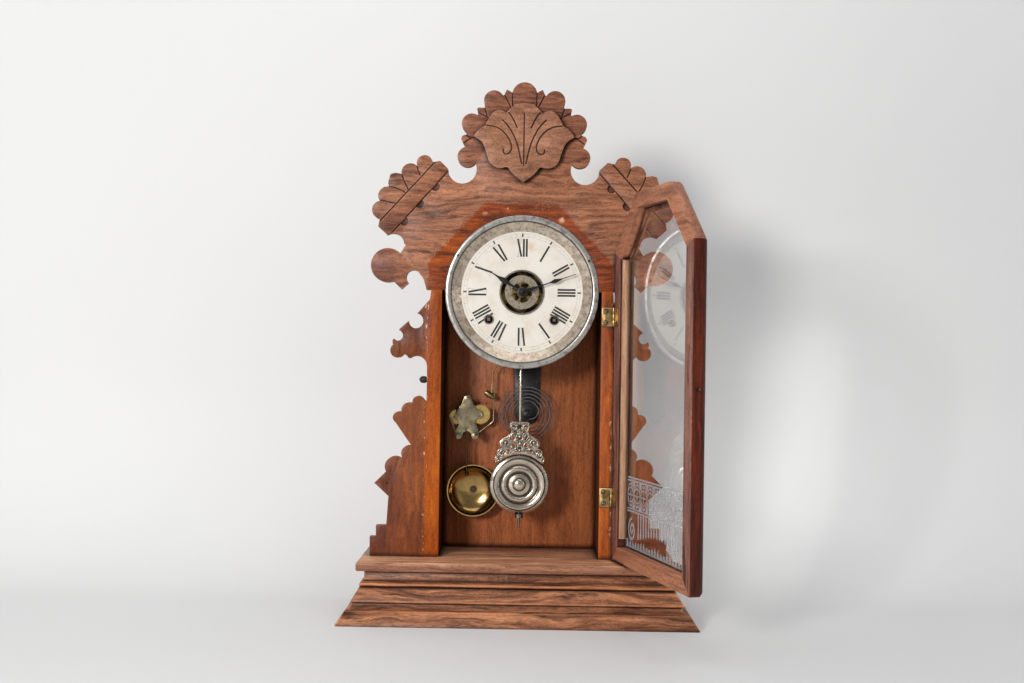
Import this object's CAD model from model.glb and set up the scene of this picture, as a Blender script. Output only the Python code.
"""Looks for the carved kitchen shelf clock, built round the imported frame.

Every CAD node gets a procedural material. The pieces added here are printed, etched or too fine for the
solids: the dial's numbers and minute track, the etching on the door's glass, the casting's scrolls and beads,
the polished face of the pendulum rod, the boss of the bob, the end of the alarm's wire, screw slots and nails.
Places are in metres, and in millimetres where they are multiplied by MM.
"""
import math
import bpy
import bmesh
from mathutils import Vector, Matrix


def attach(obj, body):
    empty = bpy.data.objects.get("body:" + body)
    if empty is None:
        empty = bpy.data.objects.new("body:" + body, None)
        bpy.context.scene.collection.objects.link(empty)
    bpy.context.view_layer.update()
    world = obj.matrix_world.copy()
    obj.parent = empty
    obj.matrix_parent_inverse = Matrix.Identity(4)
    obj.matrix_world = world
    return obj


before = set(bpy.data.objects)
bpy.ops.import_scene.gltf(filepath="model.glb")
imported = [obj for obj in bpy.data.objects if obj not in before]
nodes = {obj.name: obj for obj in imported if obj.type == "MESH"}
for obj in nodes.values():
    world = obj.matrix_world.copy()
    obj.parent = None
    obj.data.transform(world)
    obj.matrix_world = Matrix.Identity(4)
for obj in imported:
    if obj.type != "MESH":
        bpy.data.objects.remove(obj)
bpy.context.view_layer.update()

MM = 0.001
DIAL = Vector((0, 0, 0.340))            # middle of the dial
DIAL_Y = -0.003                         # its printed face
HINGE = Vector((0.0965, -0.0112, 0))    # the door's axis
OPEN = math.radians(106.6)              # how far the door stands open
BOB = Vector((0, 0.0105, 0.136))        # middle of the bob


def srgb(r, g, b):
    """A linear colour from screen values of 0 to 255."""
    def linear(v):
        v = v / 255
        return v / 12.92 if v <= 0.04045 else ((v + 0.055) / 1.055) ** 2.4
    return linear(r), linear(g), linear(b), 1


def scaled(tone, share):
    """A tone made darker or lighter."""
    return [min(255, int(c * share)) for c in tone]


# ------------------------------------------------------------------ node helpers
class Mat:
    """A material on one Principled shader, with short calls for the nodes that feed it."""

    def __init__(self, name, rough=0.5, metal=0.0, spec=0.5, coat=0.0, coat_rough=0.2):
        self.m = bpy.data.materials.new(name)
        self.m.use_nodes = True
        self.t = self.m.node_tree
        self.t.nodes.clear()
        self.out = self.node("ShaderNodeOutputMaterial")
        self.b = self.node("ShaderNodeBsdfPrincipled")
        self.t.links.new(self.b.outputs[0], self.out.inputs[0])
        self.b.inputs["Roughness"].default_value = rough
        self.b.inputs["Metallic"].default_value = metal
        self.b.inputs["Specular IOR Level"].default_value = spec
        self.b.inputs["Coat Weight"].default_value = coat
        self.b.inputs["Coat Roughness"].default_value = coat_rough
        self.obj = self.node("ShaderNodeTexCoord").outputs["Object"]

    def node(self, kind, **props):
        n = self.t.nodes.new(kind)
        for k, v in props.items():
            setattr(n, k, v)
        return n

    def put(self, socket, value):
        """Links a socket to another, or sets its value."""
        if isinstance(value, bpy.types.NodeSocket):
            self.t.links.new(value, socket)
        elif value is not None:
            socket.default_value = value

    def math(self, op, a, b=None, clamp=False):
        n = self.node("ShaderNodeMath", operation=op, use_clamp=clamp)
        self.put(n.inputs[0], a)
        self.put(n.inputs[1], b)
        return n.outputs[0]

    def add(self, a, b, clamp=False):
        return self.math("ADD", a, b, clamp)

    def sub(self, a, b):
        return self.math("SUBTRACT", a, b)

    def mul(self, a, b):
        return self.math("MULTIPLY", a, b)

    def noise(self, scale, detail, rough, vec=None, at=(0, 0, 0)):
        """Noise from 0 to 1. The scale is one number, or one for each axis."""
        place = self.node("ShaderNodeMapping")
        self.put(place.inputs["Vector"], vec or self.obj)
        place.inputs["Location"].default_value = at
        place.inputs["Scale"].default_value = scale if isinstance(scale, tuple) else (scale,) * 3
        n = self.node("ShaderNodeTexNoise")
        self.put(n.inputs["Vector"], place.outputs[0])
        n.inputs["Scale"].default_value = 1
        n.inputs["Detail"].default_value = detail
        n.inputs["Roughness"].default_value = rough
        return n.outputs["Fac"]

    def ramp(self, fac, *stops):
        """A colour ramp through stops of (place, tone)."""
        n = self.node("ShaderNodeValToRGB")
        self.put(n.inputs[0], fac)
        elements = n.color_ramp.elements
        while len(elements) < len(stops):
            elements.new(0.5)
        for element, (place, tone) in zip(elements, stops):
            element.position = place
            element.color = srgb(*tone)
        return n.outputs["Color"]

    def range(self, value, a, b, lo=0.0, hi=1.0):
        """From lo to hi, smoothly, as the value goes from a to b."""
        n = self.node("ShaderNodeMapRange", interpolation_type="SMOOTHSTEP")
        self.put(n.inputs["Value"], value)
        for k, v in (("From Min", a), ("From Max", b), ("To Min", lo), ("To Max", hi)):
            n.inputs[k].default_value = v
        return n.outputs["Result"]

    def mix(self, fac, a, b, mode="MIX"):
        n = self.node("ShaderNodeMix", data_type="RGBA", blend_type=mode)
        self.put(n.inputs[0], fac)
        self.put(n.inputs[6], a)
        self.put(n.inputs[7], b)
        return n.outputs[2]

    def over(self, fac, colour, tone, mode="MIX"):
        """Lays a tone over a colour."""
        return self.mix(fac, colour, srgb(*tone), mode)

    def xyz(self, vec=None):
        n = self.node("ShaderNodeSeparateXYZ")
        self.put(n.inputs[0], vec or self.obj)
        return n.outputs[0], n.outputs[1], n.outputs[2]

    def off_axis(self, x0, z0):
        """How far a point is from an axis that runs from front to back."""
        x, _, z = self.xyz()
        a = self.sub(x, x0) if x0 else x
        b = self.sub(z, z0)
        return self.math("SQRT", self.add(self.mul(a, a), self.mul(b, b)))

    def corners(self, power):
        """1 in the open, falling to 0 in inner corners, where dirt settles."""
        n = self.node("ShaderNodeAmbientOcclusion", samples=6)
        n.inputs["Distance"].default_value = 0.006
        return self.math("POWER", n.outputs["AO"], power)

    def color(self, value):
        self.put(self.b.inputs["Base Color"], value)

    def rough(self, value):
        self.put(self.b.inputs["Roughness"], value)

    def bump(self, height, strength, distance):
        n = self.node("ShaderNodeBump")
        n.inputs["Strength"].default_value = strength
        n.inputs["Distance"].default_value = distance
        self.put(n.inputs["Height"], height)
        self.put(self.b.inputs["Normal"], n.outputs[0])

    def mixed_out(self, fac, other):
        """Mixes the shader with another before the output."""
        n = self.node("ShaderNodeMixShader")
        self.t.links.new(fac, n.inputs[0])
        self.t.links.new(self.b.outputs[0], n.inputs[1])
        self.t.links.new(other.outputs[0], n.inputs[2])
        self.t.links.new(n.outputs[0], self.out.inputs[0])


# ------------------------------------------------------------------ wood
# the shut door's outline on the front boards: its middle, half width, top, and its slopes as a*x + b*z = c
DOOR_MID, DOOR_HALF, DOOR_TOP = -0.00185, 0.0975, 0.4332
SLOPE_A, SLOPE_B, SLOPE_C = 0.728, 0.686, 0.3247
DOOR_BACK = (-0.0122, -0.0117)          # where the shut door's inner faces begin, front to back
SHELF_TOP, SHELF_FRONT = 0.0606, (-0.0482, -0.049)
TONE_AT = (0.38, 0.49, 0.61)            # where a wood's dark, middle and light tones stand


def door_mask(s):
    """Where the shut door covers the boards, whose varnish stays orange there, and the chips at its edge."""
    x, _, z = s.xyz()
    ax = s.math("ABSOLUTE", s.add(x, -DOOR_MID))
    side = s.sub(DOOR_HALF, ax)
    slope = s.sub(SLOPE_C, s.add(s.mul(ax, SLOPE_A), s.mul(z, SLOPE_B)))
    within = s.math("MINIMUM", s.math("MINIMUM", side, slope), s.sub(DOOR_TOP, z))
    wobble = s.noise(90, 4, 0.65)
    within = s.add(within, s.mul(s.sub(wobble, 0.5), 0.006))
    chips = s.noise((330, 330, 150), 3, 0.6)
    edge = s.mul(s.range(within, -0.0024, -0.0008), s.range(within, 0.0022, 0.0008))
    edge = s.mul(edge, s.range(z, 0.342, 0.338, 0.2, 1.0))      # few chips above the dial's middle
    return s.range(within, -0.002, 0.002), s.mul(edge, s.range(chips, 0.59, 0.65))


def rim_mask(s):
    """1 out at the tips of the wings and crest, where the old varnish has gone dark and purple."""
    x, _, z = s.xyz()
    ax = s.math("ABSOLUTE", x)
    side = s.mul(s.range(ax, 0.112, 0.148), s.range(z, 0.455, 0.4))
    wing = s.mul(s.range(z, 0.2, 0.3), s.range(z, 0.36, 0.33, 0, 0.7))
    high = s.range(z, 0.452, 0.515, 0, 0.6)
    soft = s.noise(34, 3, 0.6)
    tips = s.math("MAXIMUM", s.math("MAXIMUM", side, wing), high)
    return s.mul(tips, s.range(soft, 0.3, 0.62, 0.5, 1.0))


def spot(s, x, z, radius, soft):
    """A worn spot with a ragged edge."""
    ragged = s.noise(170, 4, 0.7)
    d = s.add(s.off_axis(x, z), s.mul(s.sub(ragged, 0.5), radius * 1.6))
    return s.range(d, radius * soft, radius, 1, 0)


def shelf_dust(s, base, col):
    """Grey dust and pale lint at the shelf's back and sides, and a darker front edge."""
    x, y, z = s.xyz(base)
    near = s.math("MAXIMUM", s.range(y, 0.035, 0.058), s.range(s.math("ABSOLUTE", x), 0.068, 0.084))
    near = s.mul(near, s.mul(s.range(z, SHELF_TOP - 0.0003, SHELF_TOP), s.range(y, -0.012, 0.0)))
    lint = s.noise(330, 4, 0.75)
    col = s.over(s.mul(near, 0.6), col, (104, 92, 80))
    col = s.over(s.mul(near, s.range(lint, 0.56, 0.66)), col, (186, 176, 160))
    return s.over(s.range(y, *SHELF_FRONT, 0, 0.55), col, (92, 48, 30))


def wood(name, grain, tones, warm=None, seed=0, pore=0.55, rough=0.5, coat=0.05, streak=0.4, scuff=0.25,
         wave=1.0, long=1.0, figure=1.0, turn=0.0, rim=0.0, back=False, worn=(), bands=(), dust=False):
    """Old varnished wood with its grain along one axis, in dark, middle and light tones.

    warm: the tones where the shut door has kept the varnish; seed: moves the pattern
    pore, streak, scuff: how strong the pores, the dark streaks and the pale scuffs are
    wave: how far the grain wanders; long: how far its figure runs; figure: how strong its rings are
    turn: turns the grain back by the door's opening; back: the door's inner faces are redder
    rim: share of the ageing at the tips; worn: pale spots as (x, z, radius, share)
    bands: lines along a moulding as (height, half width, share, tone) in millimetres; dust: on the shelf
    """
    s = Mat(name, rough=rough, spec=0.22, coat=coat, coat_rough=0.3)
    dark, _, light = tones
    deep = scaled(dark, 0.5)
    base = s.obj
    if turn:
        n = s.node("ShaderNodeVectorRotate", rotation_type="Z_AXIS")
        s.put(n.inputs["Vector"], s.obj)
        n.inputs["Center"].default_value = HINGE
        n.inputs["Angle"].default_value = turn
        base = n.outputs[0]
    along = [axis == grain for axis in "XYZ"]
    at = (seed * 3.1, seed * 1.7, seed * 2.3)

    def fibres(run, across, detail, roughness, vec, at=at):
        """Noise drawn out along the grain."""
        return s.noise(tuple(run / long if a else across for a in along), detail, roughness, vec, at)

    # the grain wanders slowly across its run
    bend = fibres(9, 22, 3, 0.55, base)
    sway = s.mul(s.sub(bend, 0.5), 0.016 * wave)
    sideways = s.node("ShaderNodeCombineXYZ")
    for i, a in enumerate(along):
        if not a:
            s.put(sideways.inputs[i], sway)
    bent = s.node("ShaderNodeVectorMath", operation="ADD")
    s.put(bent.inputs[0], base)
    s.put(bent.inputs[1], sideways.outputs[0])
    v = bent.outputs[0]

    rings = fibres(10, 230, 5, 0.66, v)
    broad = fibres(6, 40, 4, 0.55, v)
    fine = fibres(95, 900, 3, 0.65, v)
    pores = s.range(fibres(240, 1500, 2, 0.55, v), 0.55, 0.68)
    blotch = s.noise(20, 4, 0.6, base, at)
    grit = s.noise(700, 2, 0.6, base, at)
    tone = s.add(s.mul(rings, 0.58 * figure), s.mul(broad, 0.24))
    tone = s.add(tone, s.mul(fine, 0.18))
    tone = s.add(tone, 0.29 * (1 - figure))
    col = s.ramp(tone, *zip(TONE_AT, tones))
    if warm:
        kept, chips = door_mask(s)
        col = s.mix(kept, col, s.ramp(tone, *zip(TONE_AT, warm)))
    if rim:
        aged = s.over(1.0, col, (178, 158, 172), "MULTIPLY")
        col = s.mix(s.mul(rim_mask(s), rim), col, aged)
    if back:
        inner = s.ramp(tone, *zip(TONE_AT, ((84, 52, 46), (126, 84, 74), (152, 108, 94))))
        col = s.mix(s.range(s.xyz(base)[1], *DOOR_BACK), col, inner)

    # pores, dark streaks, faded patches and scuffs
    col = s.over(s.mul(pores, pore), col, deep)
    streaks = fibres(13, 105, 5, 0.7, v, (at[0] + 5, at[1], at[2]))
    col = s.over(s.mul(s.range(streaks, 0.53, 0.66), streak), col, deep)
    faded = s.mul(s.range(blotch, 0.5, 0.72), s.range(grit, 0.42, 0.62))
    col = s.over(s.mul(faded, 0.35), col, light)
    nicks = s.noise(210, 3, 0.7, base, at)
    where = s.noise(26, 2, 0.5, base, at)
    scuffs = s.mul(s.range(nicks, 0.66, 0.74), s.range(where, 0.56, 0.68))
    col = s.over(s.mul(scuffs, scuff), col, (206, 164, 122))
    if warm:
        col = s.over(s.mul(chips, 0.75), col, (224, 178, 140))
    for x, z, radius, share in worn:
        col = s.over(s.mul(spot(s, x, z, radius, 0.2), share), col, (214, 168, 140))
    for z, half, share, band_tone in bands:
        off = s.math("ABSOLUTE", s.sub(s.xyz(base)[2], z * MM))
        band = s.mul(s.range(off, half * MM, half * MM * 0.3), s.range(bend, 0.3, 0.6, 0.5, 1.0))
        col = s.over(s.mul(band, share), col, band_tone)
    if dust:
        col = shelf_dust(s, base, col)

    # dirt settled in corners, and edges rubbed pale
    dirty = s.over(1.0, col, (84, 60, 50), "MULTIPLY")
    col = s.mix(s.range(s.corners(1.6), 0.3, 0.95, 1, 0), col, dirty)
    edges = s.node("ShaderNodeAmbientOcclusion", samples=4, inside=True)
    edges.inputs["Distance"].default_value = 0.0016
    rubbed = s.mul(s.range(edges.outputs["AO"], 0.82, 0.45), s.range(blotch, 0.4, 0.6))
    s.color(s.over(s.mul(rubbed, 0.4), col, scaled(light, 1.35)))

    gloss = s.add(s.mul(fine, 0.3), rough - 0.18)
    s.rough(s.add(gloss, s.mul(pores, 0.2), clamp=True))
    height = s.sub(s.mul(fine, 0.5), s.mul(pores, 0.8))
    s.bump(s.add(height, s.mul(rings, 0.6)), 0.5, 0.00025)
    return s.m


# varnish that the shut door has kept, on the crest and on the front boards
ORANGE = ((66, 22, 3), (128, 52, 8), (172, 82, 18))
STILE = ((114, 46, 2), (158, 71, 3), (194, 100, 9))
BASE_TONES = ((69, 38, 26), (135, 84, 57), (197, 134, 94))
BANDS = ((38.6, 1.5, 0.5, (214, 140, 92)), (22.8, 0.9, 0.45, (206, 132, 84)),
         (13.6, 0.8, 0.35, (196, 124, 78)), (41.8, 1.5, 0.7, (44, 24, 17)), (34.4, 1.2, 0.6, (48, 26, 18)),
         (20.6, 1.3, 0.65, (46, 26, 18)))
WORN = ((0.0405, 0.4155, 0.0042, 0.8), (-0.04, 0.422, 0.0036, 0.35), (-0.016, 0.4276, 0.0014, 0.8))

crest_wood = wood("oak_crest", "X", ((84, 48, 38), (139, 88, 62), (178, 119, 86)), ORANGE, streak=0.7,
                  scuff=0.5, wave=2.2, rim=0.9, worn=WORN)
board_wood = wood("oak_front", "Z", ((82, 35, 13), (125, 62, 24), (155, 84, 36)), STILE, seed=2, streak=0.25,
                  scuff=0.55, long=0.5, figure=0.7, rim=0.9)
ornament_wood = wood("oak_ornament", "X", ((93, 58, 40), (144, 96, 70), (180, 128, 98)), seed=4, pore=0.7,
                     streak=0.25, scuff=0.3, wave=1.2, long=0.35, figure=0.7)
base_wood = wood("oak_base", "X", BASE_TONES, seed=5, streak=0.85, scuff=0.5, wave=1.4, bands=BANDS)
base_side_wood = wood("oak_base_side", "Y", BASE_TONES, seed=6, streak=0.85, scuff=0.5, bands=BANDS)
shelf_wood = wood("oak_shelf", "X", ((123, 75, 55), (188, 132, 100), (243, 186, 147)), seed=7, streak=0.45,
                  scuff=0.9, dust=True)
case_wood = wood("oak_case", "Z", ((28, 13, 8), (54, 27, 15), (78, 42, 24)), seed=8, streak=0.3, scuff=0.2)
back_wood = wood("oak_back", "Z", ((108, 55, 27), (155, 86, 49), (178, 108, 65)), seed=9, streak=0.25,
                 scuff=0.7, figure=0.6)
hidden_wood = wood("pine_inside", "X", ((104, 66, 36), (146, 100, 60), (176, 130, 84)), seed=10, streak=0.2,
                   scuff=0.2)
door_v = wood("oak_door_upright", "Z", ((42, 11, 3), (77, 24, 8), (109, 42, 16)), seed=11, streak=0.75,
              scuff=0.4, turn=-OPEN, back=True)
door_h = wood("oak_door_rail", "X", ((95, 54, 42), (156, 102, 77), (193, 132, 99)), seed=12, streak=0.25,
              scuff=0.45, figure=0.7, turn=-OPEN)
strip_wood = wood("pine_strip", "Z", ((132, 88, 60), (170, 128, 98), (196, 158, 128)), seed=13, pore=0.2,
                  rough=0.65, coat=0.0, streak=0.2, scuff=0.2, turn=-OPEN)


# ------------------------------------------------------------------ metals, paint, glass
def metal(name, tone, dull, rough=0.3, spots=0.4, scale=300, scratch=0.25, metallic=1.0, patina=0.5,
          grooves=None):
    """Metal gone dull in patches, with dark spots, dirt in its corners and fine scratches.

    grooves: dark rings round an axis from front to back, as (its height, ((radius, half width), ...))
    """
    s = Mat(name, rough=rough, metal=metallic)
    patches = s.noise(scale * 0.35, 5, 0.65)
    specks = s.noise(scale * 2.5, 3, 0.6)
    col = s.mix(s.mul(s.range(patches, 0.42, 0.68), patina), srgb(*tone), srgb(*dull))
    col = s.over(s.mul(s.range(specks, 0.6, 0.74), spots), col, scaled(dull, 0.45))
    col = s.over(s.range(s.corners(1.4), 0.3, 0.9, 0.6, 0), col, scaled(dull, 0.3))
    if grooves:
        radius = s.off_axis(0, grooves[0])
        for at, half in grooves[1]:
            off = s.math("ABSOLUTE", s.sub(radius, at))
            col = s.over(s.range(off, half * 1.5, half * 0.4, 0, 0.85), col, (46, 38, 32))
    s.color(col)
    scratches = s.noise((60, 60, 2400), 2, 0.5)
    gloss = s.add(s.mul(patches, 0.3), rough - 0.12)
    s.rough(s.add(gloss, s.mul(s.range(scratches, 0.6, 0.7), scratch), clamp=True))
    s.bump(s.add(specks, s.mul(scratches, 0.3)), 0.12, 0.00008)
    return s.m


BRASS, BRASS_DULL = (158, 140, 98), (96, 82, 54)
brass_plate = metal("brass_tarnished", BRASS, BRASS_DULL, 0.36, 0.5)
brass_hinge = metal("brass_hinge", (176, 146, 98), (78, 58, 36), 0.34, 0.7, 380, patina=0.75)
alarm_brass = metal("brass_alarm", (160, 148, 120), (82, 72, 52), 0.24, 0.5, 360, patina=0.7)
hammer_dark = metal("steel_hammer", (84, 72, 52), (48, 40, 32), 0.32, 0.4)
gong_steel = metal("steel_gong", (132, 134, 138), (80, 78, 78), 0.24, 0.3)
rod_steel = metal("steel_rod", (196, 188, 172), (138, 128, 114), 0.22, 0.3)
brass_wheel = metal("brass_wheel", (196, 164, 100), (112, 90, 50), 0.26, 0.35)
bell_brass = metal("brass_bell", (168, 138, 86), (116, 88, 52), 0.12, 0.35, 200, 0.1, patina=0.35)
nickel = metal("nickel_aged", (174, 160, 146), (120, 108, 96), 0.2, 0.35, 260, patina=0.4)
BOB_GROOVES = ((0.0204, 0.0012), (0.0127, 0.0009), (0.0272, 0.0008), (0.0068, 0.0005))
bob_nickel = metal("nickel_bob", (196, 184, 168), (132, 120, 106), 0.17, 0.35, 260, patina=0.35,
                   grooves=(BOB.z, BOB_GROOVES))
cast_nickel = metal("nickel_casting", (190, 178, 162), (84, 72, 60), 0.26, 0.5, 900, patina=0.6)
steel = metal("steel_aged", (122, 116, 108), (74, 66, 58), 0.34, 0.4)
spring_steel = metal("steel_blue", (74, 82, 104), (44, 44, 52), 0.3, 0.3)
black_iron = metal("iron_japanned", (30, 28, 27), (16, 15, 15), 0.42, 0.2, metallic=0.25)
hand_steel = metal("hands_blackened", (26, 25, 27), (40, 34, 30), 0.3, 0.3, metallic=0.5)
# the front plate is dark where the dial's middle opens on it
plate_dark = metal("brass_plate_front", BRASS, BRASS_DULL, 0.36, 0.5,
                   grooves=(DIAL.z, ((0.0, 0.024), (0.021, 0.003))))


def bezel_material():
    """A mottled nickel ring, a groove, and inside it the browner slope down to the dial."""
    s = Mat("bezel_nickel", rough=0.26, metal=0.6)
    radius = s.off_axis(0, DIAL.z)
    mottle = s.noise(160, 5, 0.7)
    flecks = s.noise(900, 3, 0.6)
    slope = s.mix(s.range(mottle, 0.38, 0.66), srgb(164, 148, 130), srgb(206, 192, 174))
    ring = s.mix(s.range(mottle, 0.45, 0.7), srgb(168, 164, 158), srgb(112, 104, 98))
    col = s.mix(s.range(radius, 0.0742, 0.0736), ring, slope)
    col = s.over(s.range(flecks, 0.66, 0.76, 0, 0.3), col, (70, 52, 38))
    groove = s.mul(s.range(radius, 0.0731, 0.0740), s.range(radius, 0.0753, 0.0745))
    s.color(s.over(s.mul(groove, 0.85), col, (26, 22, 20)))
    s.rough(s.add(s.mul(mottle, 0.26), 0.16))
    s.bump(mottle, 0.1, 0.0001)
    return s.m


def disc_material():
    """The alarm disc: worn silvering, down to brass in the middle."""
    s = Mat("alarm_disc_worn", rough=0.5, metal=0.7)
    radius = s.off_axis(0, DIAL.z)
    wear = s.noise(420, 5, 0.7)
    col = s.mix(s.range(wear, 0.38, 0.64), srgb(104, 94, 74), srgb(168, 158, 140))
    col = s.mix(s.range(radius, 0.0095, 0.0115), srgb(96, 84, 46), col)
    s.color(s.over(s.mul(s.range(wear, 0.52, 0.66), 0.8), col, (34, 28, 22)))
    s.rough(s.add(s.mul(wear, 0.3), 0.3))
    s.bump(wear, 0.25, 0.0001)
    return s.m


def dial_material():
    """Cream paper with faint clouds, foxing and two brown stains."""
    s = Mat("dial_cream", rough=0.42, spec=0.4, coat=0.1, coat_rough=0.3)
    clouds = s.noise(40, 5, 0.65)
    foxing = s.noise(260, 3, 0.6)
    col = s.mix(s.range(clouds, 0.4, 0.75), srgb(216, 210, 200), srgb(204, 193, 178))
    col = s.over(s.range(foxing, 0.62, 0.76, 0, 0.25), col, (200, 178, 152))
    col = s.over(s.mul(spot(s, 0.0095, 0.3885, 0.0075, 0.1), 0.5), col, (196, 150, 118))
    s.color(s.over(s.mul(spot(s, -0.024, 0.294, 0.006, 0.1), 0.25), col, (190, 160, 128)))
    s.bump(clouds, 0.06, 0.0002)
    return s.m


def speckled(name, rough, noise, span, tones, bump):
    """Two tones mixed by a noise of (scale, detail, roughness); span is where it goes from one to the other."""
    s = Mat(name, rough=rough)
    n = s.noise(*noise)
    s.color(s.mix(s.range(n, *span), srgb(*tones[0]), srgb(*tones[1])))
    s.bump(n, *bump)
    return s


def glass_material():
    """Old window glass, a little wavy and smeared, that casts next to no shadow."""
    s = Mat("glass_old", rough=0.0)
    s.color((0.97, 0.985, 0.98, 1))
    s.b.inputs["Transmission Weight"].default_value = 1.0
    s.b.inputs["IOR"].default_value = 1.5
    s.bump(s.noise((14, 14, 6), 2, 0.5), 0.05, 0.0006)
    s.rough(s.range(s.noise(60, 4, 0.7), 0.62, 0.85, 0.0, 0.06))
    clear = s.node("ShaderNodeBsdfTransparent")
    clear.inputs[0].default_value = (0.94, 0.96, 0.95, 1)
    s.mixed_out(s.node("ShaderNodeLightPath").outputs["Is Shadow Ray"], clear)
    return s.m


bezel = bezel_material()
disc = disc_material()
dial = dial_material()
ink = speckled("dial_ink", 0.5, (500, 4, 0.7), (0.58, 0.75, 0, 0.5), ((12, 11, 12), (96, 90, 84)),
               (0.1, 0.00005)).m
faint = speckled("dial_ink_faint", 0.5, (420, 4, 0.7), (0.4, 0.6), ((120, 112, 104), (190, 180, 166)),
                 (0.1, 0.00005)).m
glass = glass_material()
frosted = speckled("glass_frost", 0.75, (900, 3, 0.7), (0.4, 0.7), ((182, 184, 188), (160, 162, 166)),
                   (0.3, 0.0001))
frosted.b.inputs["Alpha"].default_value = 0.42
frost = frosted.m

# ------------------------------------------------------------------ carried-over nodes
# nodes that aren't named here are brass wheels
USE = {
    "base_front_moulding": base_wood, "base_side_mouldings": base_side_wood, "shelf_board": shelf_wood,
    "base_bottom": hidden_wood, "base_back_rail": hidden_wood, "case_sides": case_wood, "case_top": case_wood,
    "back_board": back_wood, "left_front_board": board_wood, "right_front_board": board_wood,
    "crest_board": crest_wood, "crest_ornament": ornament_wood, "dial_plate": dial, "dial_bezel": bezel,
    "dial_rings": nickel, "movement_front_plate": plate_dark, "movement_back_plate": brass_plate,
    "movement_pillars": brass_plate, "time_mainspring": spring_steel, "strike_mainspring": spring_steel,
    "gong_stand": black_iron, "gong_coil": gong_steel, "alarm_plates": alarm_brass, "bell": bell_brass,
    "bell_post": hammer_dark, "hinge_case_leaves": brass_hinge, "hinge_door_leaves": brass_hinge,
    "latch_screw": black_iron, "door_hinge_stile": door_v, "door_free_stile": door_v,
    "door_bottom_rail": door_h, "door_top_rails": door_h, "door_glass": glass, "door_glass_strips": strip_wood,
    "latch_pin": steel, "latch_hook": black_iron, "minute_hand": hand_steel, "hour_hand": hand_steel,
    "centre_arbor": brass_wheel, "time_winding_arbor": steel, "strike_winding_arbor": steel,
    "pendulum_rod": steel, "bob_ornament": cast_nickel, "pendulum_bob": bob_nickel, "verge": steel,
    "alarm_disc": disc, "alarm_hammer": hammer_dark, "strike_hammer": brass_plate,
}
# softened edges, in millimetres
BEVEL = {
    "base_front_moulding": 0.5, "base_side_mouldings": 0.5, "shelf_board": 0.6, "left_front_board": 0.5,
    "right_front_board": 0.5, "crest_board": 0.3, "crest_ornament": 0.4, "door_hinge_stile": 0.5,
    "door_free_stile": 0.5, "door_bottom_rail": 0.5, "door_top_rails": 0.5, "door_glass_strips": 0.3,
    "case_sides": 0.4, "case_top": 0.6, "back_board": 0.4, "gong_stand": 0.5, "alarm_plates": 0.15,
    "hinge_case_leaves": 0.12, "hinge_door_leaves": 0.12, "latch_hook": 0.2, "strike_hammer": 0.25,
    "bob_ornament": 0.35, "movement_front_plate": 0.15, "hour_hand": 0.15, "minute_hand": 0.15,
}
SHARP, SHARP_BEVELLED, BEVEL_FROM = math.radians(32), math.radians(50), math.radians(38)

for name, ob in nodes.items():
    ob.data.materials.clear()
    ob.data.materials.append(USE.get(name, brass_wheel))
    for p in ob.data.polygons:
        p.use_smooth = True
    weld = ob.modifiers.new("weld", "WELD")
    weld.merge_threshold = 2e-6
    if name in BEVEL:
        bevel = ob.modifiers.new("edges", "BEVEL")
        bevel.width = BEVEL[name] * MM
        bevel.segments = 2
        bevel.limit_method = "ANGLE"
        bevel.angle_limit = BEVEL_FROM
    split = ob.modifiers.new("split", "EDGE_SPLIT")
    split.split_angle = SHARP_BEVELLED if name in BEVEL else SHARP


# ------------------------------------------------------------------ mesh helpers
def make(name, verts, faces, mat, body, smooth=False):
    """A piece from points and faces, riding on a body."""
    me = bpy.data.meshes.new(name)
    me.from_pydata([tuple(v) for v in verts], [], faces)
    me.validate()
    me.update()
    for p in me.polygons:
        p.use_smooth = smooth
    me.materials.append(mat)
    ob = bpy.data.objects.new(name, me)
    bpy.context.scene.collection.objects.link(ob)
    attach(ob, body)


class Flat:
    """Thin shapes on a plane, given by its origin, two directions, the way out of it and their thickness."""

    def __init__(self, origin, u, v, out, thick):
        self.o, self.u, self.v, self.w, self.t = Vector(origin), Vector(u), Vector(v), Vector(out), thick
        self.vs, self.fs = [], []

    def poly(self, pts):
        n, k = len(pts), len(self.vs)
        for h in (0.0, self.t):
            for a, b in pts:
                self.vs.append(self.o + self.u * a + self.v * b + self.w * h)
        self.fs.append([k + n + i for i in range(n)])
        self.fs.append([k + i for i in range(n)][::-1])
        for i in range(n):
            j = (i + 1) % n
            self.fs.append([k + i, k + j, k + n + j, k + n + i])

    def line(self, a, b, width):
        dx, dy = b[0] - a[0], b[1] - a[1]
        d = math.hypot(dx, dy) or 1
        nx, ny = -dy / d / 2, dx / d / 2
        self.poly([(a[0] - nx * width, a[1] - ny * width), (b[0] - nx * width, b[1] - ny * width),
                   (b[0] + nx * width, b[1] + ny * width), (a[0] + nx * width, a[1] + ny * width)])

    def ring(self, r0, r1, n=144, cx=0.0, cy=0.0, sy=1.0):
        """A ring of n facets, drawn out by sy; a disc where r0 is 0."""
        for i in range(n):
            t0 = math.radians(360.0 * i / n)
            t1 = math.radians(360.0 * (i + 1) / n)
            self.poly([(cx + r * math.cos(t), cy + sy * r * math.sin(t))
                       for r, t in ((r0, t0), (r1, t0), (r1, t1), (r0, t1))])

    def done(self, name, mat, body):
        make(name, self.vs, self.fs, mat, body)


def front_plane(y, z, thick):
    """A plane that faces the front, measured in millimetres."""
    return Flat((0, y, z), (MM, 0, 0), (0, 0, MM), (0, -1, 0), thick)


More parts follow.
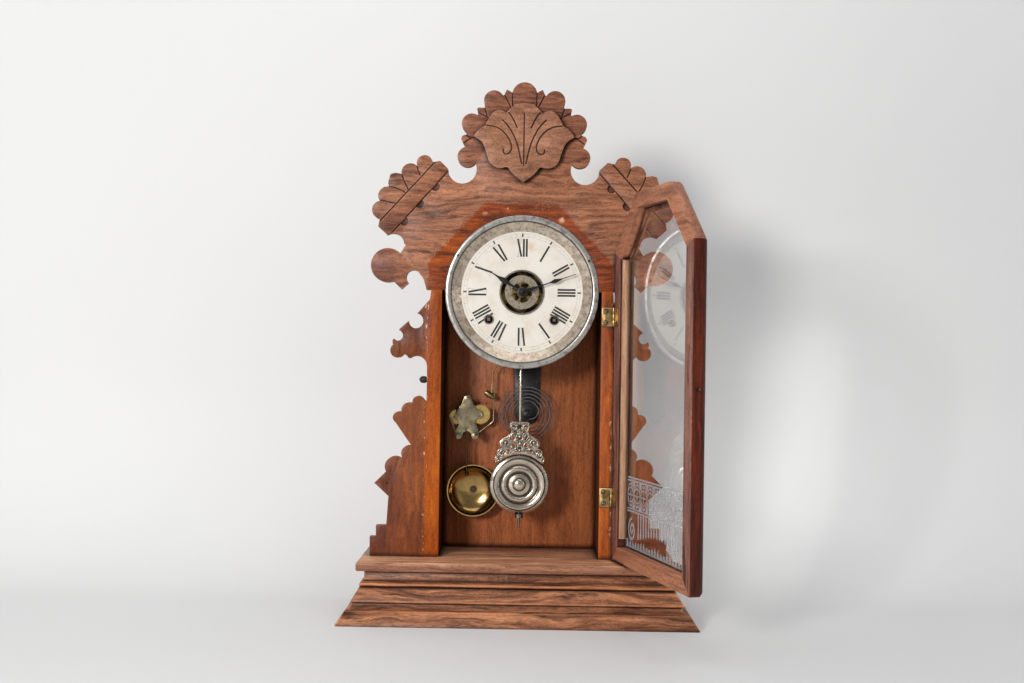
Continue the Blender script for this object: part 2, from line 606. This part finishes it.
def tube(name, paths, r, mat, body):
    """Round wire of radius r millimetres along each path of points."""
    cu = bpy.data.curves.new(name, "CURVE")
    cu.dimensions = "3D"
    cu.bevel_depth = r * MM
    cu.bevel_resolution = 3
    for pts in paths:
        sp = cu.splines.new("NURBS")
        sp.points.add(len(pts) - 1)
        for q, p in zip(sp.points, pts):
            q.co = (*p, 1)
        sp.order_u = 3
        sp.use_endpoint_u = True
    cu.materials.append(mat)
    ob = bpy.data.objects.new(name, cu)
    bpy.context.scene.collection.objects.link(ob)
    me = bpy.data.meshes.new_from_object(ob)
    bpy.data.objects.remove(ob)
    mo = bpy.data.objects.new(name, me)
    for p in me.polygons:
        p.use_smooth = True
    bpy.context.scene.collection.objects.link(mo)
    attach(mo, body)


def turned_piece(name, profile, at, axis, mat, body, n=48):
    """A piece turned round an axis through a point, from a profile of (along, radius) in millimetres."""
    d = Vector(axis).normalized()
    u = d.orthogonal().normalized()
    w = d.cross(u)
    vs = [Vector(at) + d * (h * MM) + (u * math.cos(t) + w * math.sin(t)) * (r * MM)
          for h, r in profile for t in (2 * math.pi * i / n for i in range(n))]
    fs = [[k * n + i, k * n + (i + 1) % n, (k + 1) * n + (i + 1) % n, (k + 1) * n + i]
          for k in range(len(profile) - 1) for i in range(n)]
    fs += [list(range(n))[::-1], [(len(profile) - 1) * n + i for i in range(n)]]
    make(name, vs, fs, mat, body, True)


# ------------------------------------------------------------------ printed dial
HOURS = ["XII", "I", "II", "III", "IIII", "V", "VI", "VII", "VIII", "IX", "X", "XI"]
WIDE = {"I": 3.1, "V": 5.6, "X": 5.8}   # each letter's width, serifs and all
FOOT, HEAD = 37.6, 56.4                 # how far out a numeral's foot and head stand
THICK, HAIR, SERIF = 2.0, 0.35, 0.3     # its strokes
TRACK_IN, TRACK_OUT = 58.7, 61.6        # the minute track
MARK_IN, MARK_OUT = 58.6, 62.0          # the bold marks at the hours


def numeral_strokes(text):
    """The bold and the thin strokes of a numeral that stands upright above the dial's middle."""
    x = -sum(WIDE[c] for c in text) / 2
    thick, thin = [], []
    for c in text:
        m = x + WIDE[c] / 2
        if c == "I":
            thick.append(((m, FOOT), (m, HEAD), THICK))
        elif c == "V":
            thick.append(((m - 1.7, HEAD), (m + 0.4, FOOT), THICK))
            thin.append(((m + 2.2, HEAD), (m + 0.7, FOOT), HAIR))
        else:
            thick.append(((m - 1.9, HEAD), (m + 1.9, FOOT), THICK))
            thin.append(((m + 2.1, HEAD), (m - 2.1, FOOT), HAIR))
        for end in (HEAD, FOOT):
            thin.append(((m - WIDE[c] / 2 + 0.2, end), (m + WIDE[c] / 2 - 0.2, end), SERIF))
        x += WIDE[c]
    return thick, thin


def round_dial(p, a):
    """A point turned clockwise round the dial's middle."""
    return p[0] * math.cos(a) + p[1] * math.sin(a), -p[0] * math.sin(a) + p[1] * math.cos(a)


bold = front_plane(DIAL_Y, DIAL.z, 0.00005)
pale = front_plane(DIAL_Y, DIAL.z, 0.00004)
for h, text in enumerate(HOURS):
    a = math.radians(30 * h)
    for plane, strokes in zip((bold, pale), numeral_strokes(text)):
        for p, q, w in strokes:
            plane.line(round_dial(p, a), round_dial(q, a), w)
    bold.line(round_dial((0, MARK_IN), a), round_dial((0, MARK_OUT), a), 1.5)
pale.ring(TRACK_IN - 0.25, TRACK_IN)
pale.ring(TRACK_OUT, TRACK_OUT + 0.25)
for m in range(60):
    a = math.radians(6 * m)
    if m % 5:
        pale.line(round_dial((0, TRACK_IN), a), round_dial((0, TRACK_OUT), a), 0.22)
bold.done("dial_numerals", ink, "case")
pale.done("dial_minute_track", faint, "case")

# ------------------------------------------------------------------ etched glass
# drawn in millimetres on the shut door, then turned open with it
GLASS_Y = -0.0211                       # inner face of the glass
LEFT, RIGHT = -79, 75.4                 # the etching's sides
RAIL = 115.4                            # foot of the lower rail
ROW_LOW, ROW_HIGH = 119.4, 146.6        # the row of ovals between its rails
OVALS, OVAL_X, OVAL_Z, OVAL_STEP = 9, -70.2, 133, 17.1
OVAL_IN, OVAL_OUT, OVAL_HALF = 7.1, 8.2, 8.55
WEDGE_TOP, WEDGE_TIP, WEDGE_HALF = 13.5, 6, 4.25
SCROLL_Z, SCROLL_TALL, SCROLL_R, SCROLL_SHRINK = 97, 1.15, 11.5, 0.26
SCROLL_WIDE, SCROLL_STEP = 2.2, 18      # the side scrolls' band, and the turn of each of its facets
LEAF_FOOT = 79

etch = Flat((0, GLASS_Y, 0), (MM, 0, 0), (0, 0, MM), (0, 1, 0), 0.00006)
for z0, z1 in ((ROW_HIGH, 148.4), (149.6, 151.2), (RAIL, 117), (118.2, ROW_LOW)):
    etch.poly([(LEFT, z0), (RIGHT, z0), (RIGHT, z1), (LEFT, z1)])
for k in range(OVALS):
    cx = OVAL_X + k * OVAL_STEP
    for tall in (1.5, 0.95):
        etch.ring(OVAL_IN, OVAL_OUT, 40, cx, OVAL_Z, sy=tall)
    etch.line((cx, ROW_LOW), (cx, ROW_HIGH), 0.9)
    etch.line((cx - 8.5, OVAL_Z), (cx + 8.5, OVAL_Z), 0.9)
    if k < OVALS - 1:                   # wedges between an oval and the next, from above and below
        mid = cx + OVAL_HALF
        for side in (1, -1):
            top = OVAL_Z + side * WEDGE_TOP
            etch.poly([(mid, top), (mid - WEDGE_HALF, top), (mid, OVAL_Z + side * WEDGE_TIP),
                       (mid + WEDGE_HALF, top)])
    etch.ring(0, 1.6, 12, cx, OVAL_Z)
for side in (1, -1):
    cx = -1.8 + side * 64
    r, a = SCROLL_R, 90.0
    while r > SCROLL_WIDE:
        for _ in range(10):
            t0, t1 = math.radians(a), math.radians(a - side * SCROLL_STEP)
            r2 = r - SCROLL_SHRINK
            etch.poly([(cx + q * math.cos(t), SCROLL_Z + SCROLL_TALL * q * math.sin(t)) for q, t in
                       ((r, t0), (r - SCROLL_WIDE, t0), (r2 - SCROLL_WIDE, t1), (r2, t1))])
            r, a = r2, a - side * SCROLL_STEP
for k in range(15):                     # tassels that hang from the rail, shorter towards the middle
    cx = -49 + k * 6.75
    h = 24 - 14 * math.sin(math.pi * k / 14) * 0.6
    etch.poly([(cx - 1.7, RAIL), (cx + 1.7, RAIL), (cx + 1.1, RAIL - h * 0.5), (cx + 1.9, RAIL - h),
               (cx, RAIL - h - 3), (cx - 1.9, RAIL - h), (cx - 1.1, RAIL - h * 0.5)])
for k in range(22):                     # leaves along the foot
    cx = -76.8 + k * 7.15
    tip = LEAF_FOOT + 8.5 + 2 * math.sin(k * 1.3)
    etch.poly([(cx - 3.2, LEAF_FOOT), (cx + 3.2, LEAF_FOOT), (cx + 1.6, LEAF_FOOT + 5), (cx, tip),
               (cx - 1.6, LEAF_FOOT + 5)])
opened = Matrix.Translation(HINGE) @ Matrix.Rotation(OPEN, 4, "Z") @ Matrix.Translation(-HINGE)
etch.vs = [opened @ v for v in etch.vs]
etch.done("glass_etching", frost, "door")

# ------------------------------------------------------------------ filigree above the bob
# places are (right of the bob's middle, above it) in millimetres
# scrolls: x, z, first and last radius, first and last angle, and y, below 0 in front of the bob's middle
CURLS = [(16, 44, 5.2, 1.4, 200, -160, -3.2), (8, 40, 5.6, 1.3, 40, 420, -3.4),
         (5.5, 52, 4.2, 1.1, -60, 300, -3.2), (20, 33, 5, 1.4, 120, -230, -3.2),
         (6.2, 60.5, 3.8, 1, 20, 380, -3.1), (23.6, 26.5, 3.2, 0.9, 100, -240, -3.1),
         (12.5, 35.5, 3.6, 1, 60, 400, -3.3)]
RIM_Y, BEAD_Y = -2.9, -3.1
SIDE_RIM = [(9.3, 65), (9.9, 61), (7.8, 57), (10, 52), (11.5, 48), (17.5, 46.6), (19.6, 42.6), (18, 38),
            (22.3, 33.5), (25.2, 25)]
TOP_RIM = [(-9.3, 65), (-5, 66), (0, 65.2), (5, 66), (9.3, 65)]
# beads: x, z, radius
SIDE_BEADS = [(15.2, 44.6, 2.0), (18.8, 42.2, 1.3), (17, 47, 1.2), (12.4, 42, 1.3), (8.3, 39.8, 1.7),
              (4, 36, 1.4), (20.6, 32, 1.6), (23.4, 27, 1.4), (25, 23.6, 1.0), (17, 34.6, 1.2),
              (5.6, 51.8, 1.5), (9, 54.6, 1.0), (6.2, 60.2, 1.4), (2.6, 62.8, 1.2), (9, 64.4, 1.2),
              (2.6, 56, 1.2), (11.2, 49.2, 1.1), (13.4, 37.8, 1.2), (2.4, 46, 1.3), (24.6, 30, 1.0)]
MIDDLE_BEADS = [(0, 64.8, 1.4), (0, 58.6, 1.7), (0, 51, 1.9), (0, 43.4, 2.3), (0, 36.4, 2.0)]


def on_casting(x, y, z):
    """A point of the casting, in metres."""
    return BOB + Vector((x * MM, y * MM, z * MM))


def curl(cx, cz, r0, r1, a0, a1, y, n=14):
    """A scroll's points, winding in from radius r0 to r1."""
    points = []
    for i in range(n + 1):
        r, a = r0 + (r1 - r0) * i / n, math.radians(a0 + (a1 - a0) * i / n)
        points.append(on_casting(cx + r * math.cos(a), y, cz + r * math.sin(a)))
    return points


scrolls, beads = [], []
for side in (1, -1):
    for cx, cz, r0, r1, a0, a1, y in CURLS:
        if side == 1:
            scrolls.append(curl(cx, cz, r0, r1, a0, a1, y))
        else:
            scrolls.append(curl(-cx, cz, r0, r1, 180 - a0, 180 - a1, y))
    scrolls.append([on_casting(side * x, RIM_Y, z) for x, z in SIDE_RIM])
    beads += [(side * x, z, r) for x, z, r in SIDE_BEADS]
scrolls.append([on_casting(x, RIM_Y, z) for x, z in TOP_RIM])
tube("ornament_scrolls", scrolls, 0.8, cast_nickel, "pendulum")

bm = bmesh.new()
for x, z, r in beads + MIDDLE_BEADS:
    bmesh.ops.create_icosphere(bm, subdivisions=2, radius=r * MM,
                               matrix=Matrix.Translation(on_casting(x, BEAD_Y, z)))
me = bpy.data.meshes.new("ornament_beads")
bm.to_mesh(me)
bm.free()
for p in me.polygons:
    p.use_smooth = True
me.materials.append(cast_nickel)
ob = bpy.data.objects.new("ornament_beads", me)
bpy.context.scene.collection.objects.link(ob)
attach(ob, "pendulum")

# ------------------------------------------------------------------ rod, boss, wire end, screw slots, nails
turned_piece("pendulum_flat_rod", [(0, 1.3), (1, 1.7), (72, 1.7), (73, 1.3)], BOB + Vector((0, 0, 0.065)),
             (0, 0, 1), rod_steel, "pendulum", 24)
dome = [(2.4 * math.sin(math.radians(a)), 6.2 * math.cos(math.radians(a))) for a in range(10, 81, 10)]
turned_piece("bob_boss", [(-1.2, 6.4), (0, 6.3)] + dome + [(2.4, 0.3)], BOB + Vector((0, -0.005, 0)),
             (0, -1, 0), bob_nickel, "pendulum")
tube("alarm_wire_end", [[(-0.0445, 0.0345, 0.189), (-0.0462, 0.0345, 0.1874), (-0.048, 0.0352, 0.1862),
                         (-0.0487, 0.0358, 0.1855)]], 0.7, hammer_dark, "case")

SCREW_X, SCREW_OUT = 88.2, 5.85         # the hinges' screws, above and below the middle of their leaf
SLOT_HALF, SCREW_R = 1.9, 2.5
slots = front_plane(-0.0109, 0, 0.00012)
for hinge_z, side, tilt in ((126, 1, 20), (126, -1, 75), (315, 1, -35), (315, -1, 10)):
    x, z = SCREW_X, hinge_z + side * SCREW_OUT
    dx, dz = SLOT_HALF * math.cos(math.radians(tilt)), SLOT_HALF * math.sin(math.radians(tilt))
    slots.line((x - dx, z - dz), (x + dx, z + dz), 0.8)
    slots.ring(SLOT_HALF, SCREW_R, 24, x, z)
slots.done("hinge_screw_slots", ink, "case")

NAIL_OUT = 77.4                         # how far the bezel's nails are from the dial's middle
nails = front_plane(-0.01085, DIAL.z, 0.0002)
for degrees in (151, 25.4):
    t = math.radians(degrees)
    nails.ring(0, 1.4, 16, NAIL_OUT * math.cos(t), NAIL_OUT * math.sin(t))
nails.done("bezel_nails", hammer_dark, "case")

# ------------------------------------------------------------------ stage, lights, camera
paper = Mat("backdrop_paper", rough=0.8, spec=0.2)
cloud = paper.noise(1.4, 3, 0.5)
paper.color(paper.mix(paper.range(cloud, 0.3, 0.7), (0.71, 0.711, 0.711, 1), (0.745, 0.746, 0.746, 1)))
# the paper is clear from its back, so that the back of the clock can be looked at
from_back = paper.node("ShaderNodeNewGeometry").outputs["Backfacing"]
paper.mixed_out(from_back, paper.node("ShaderNodeBsdfTransparent"))

# the paper lies on the floor from FRONT to BACK, and bends up behind the clock to stand TALL
HALF_WIDE, FRONT, BACK, BEND, TALL = 3.0, -3.0, 0.05, 0.25, 2.6
profile = [(FRONT, 0), (BACK, 0)]
profile += [(BACK + BEND * math.sin(math.radians(a)), BEND - BEND * math.cos(math.radians(a)))
            for a in range(6, 91, 6)]
profile += [(BACK + BEND, TALL)]
n = len(profile)
cove = bpy.data.meshes.new("stage_cove")
cove.from_pydata([(x, y, z) for x in (-HALF_WIDE, HALF_WIDE) for y, z in profile], [],
                 [[i, n + i, n + i + 1, i + 1] for i in range(n - 1)])
for p in cove.polygons:
    p.use_smooth = True
cove.materials.append(paper.m)
stage = bpy.data.objects.new("stage_cove", cove)
bpy.context.scene.collection.objects.link(stage)

# the default view transform greys the white dial and takes the red out of the wood
bpy.context.scene.view_settings.view_transform = "Standard"
world = bpy.data.worlds.new("studio")
bpy.context.scene.world = world
world.use_nodes = True
world.node_tree.nodes["Background"].inputs[0].default_value = (0.95, 0.97, 1.0, 1)
world.node_tree.nodes["Background"].inputs[1].default_value = 0.32


def area(name, at, to, size, power, tint=(1, 1, 1)):
    """A rectangular light at one point, turned to another."""
    light = bpy.data.lights.new(name, "AREA")
    light.shape = "RECTANGLE"
    light.size, light.size_y = size
    light.energy = power
    light.color = tint
    o = bpy.data.objects.new(name, light)
    o.location = at
    o.rotation_euler = (Vector(to) - Vector(at)).to_track_quat("-Z", "Y").to_euler()
    bpy.context.scene.collection.objects.link(o)


area("key", (-1.0, -1.84, 0.7), (0, 0, 0.26), (0.42, 0.42), 33, (1.0, 0.985, 0.965))
area("fill", (1.6, -1.6, 0.9), (0, 0, 0.25), (1.6, 1.4), 2.0, (0.96, 0.98, 1.0))
area("top", (0.1, -0.5, 1.9), (0, 0.05, 0.2), (1.8, 1.2), 10)

SENSOR, WIDTH_PX, FOCAL_PX = 36, 1024, 1170
EYE = (0.004, -1.237, 0.279)
PAN, TILT, ROLL = math.radians(0.637), math.radians(90 + 0.416), 0.0147
cam = bpy.data.cameras.new("camera")
cam.sensor_width = SENSOR
cam.sensor_fit = "HORIZONTAL"
cam.lens = SENSOR * FOCAL_PX / WIDTH_PX
cam.clip_start = 0.01
eye = bpy.data.objects.new("camera", cam)
eye.matrix_world = (Matrix.Translation(EYE) @ Matrix.Rotation(PAN, 4, "Z") @ Matrix.Rotation(TILT, 4, "X")
                    @ Matrix.Rotation(ROLL, 4, "Z"))
bpy.context.scene.collection.objects.link(eye)
bpy.context.scene.camera = eye
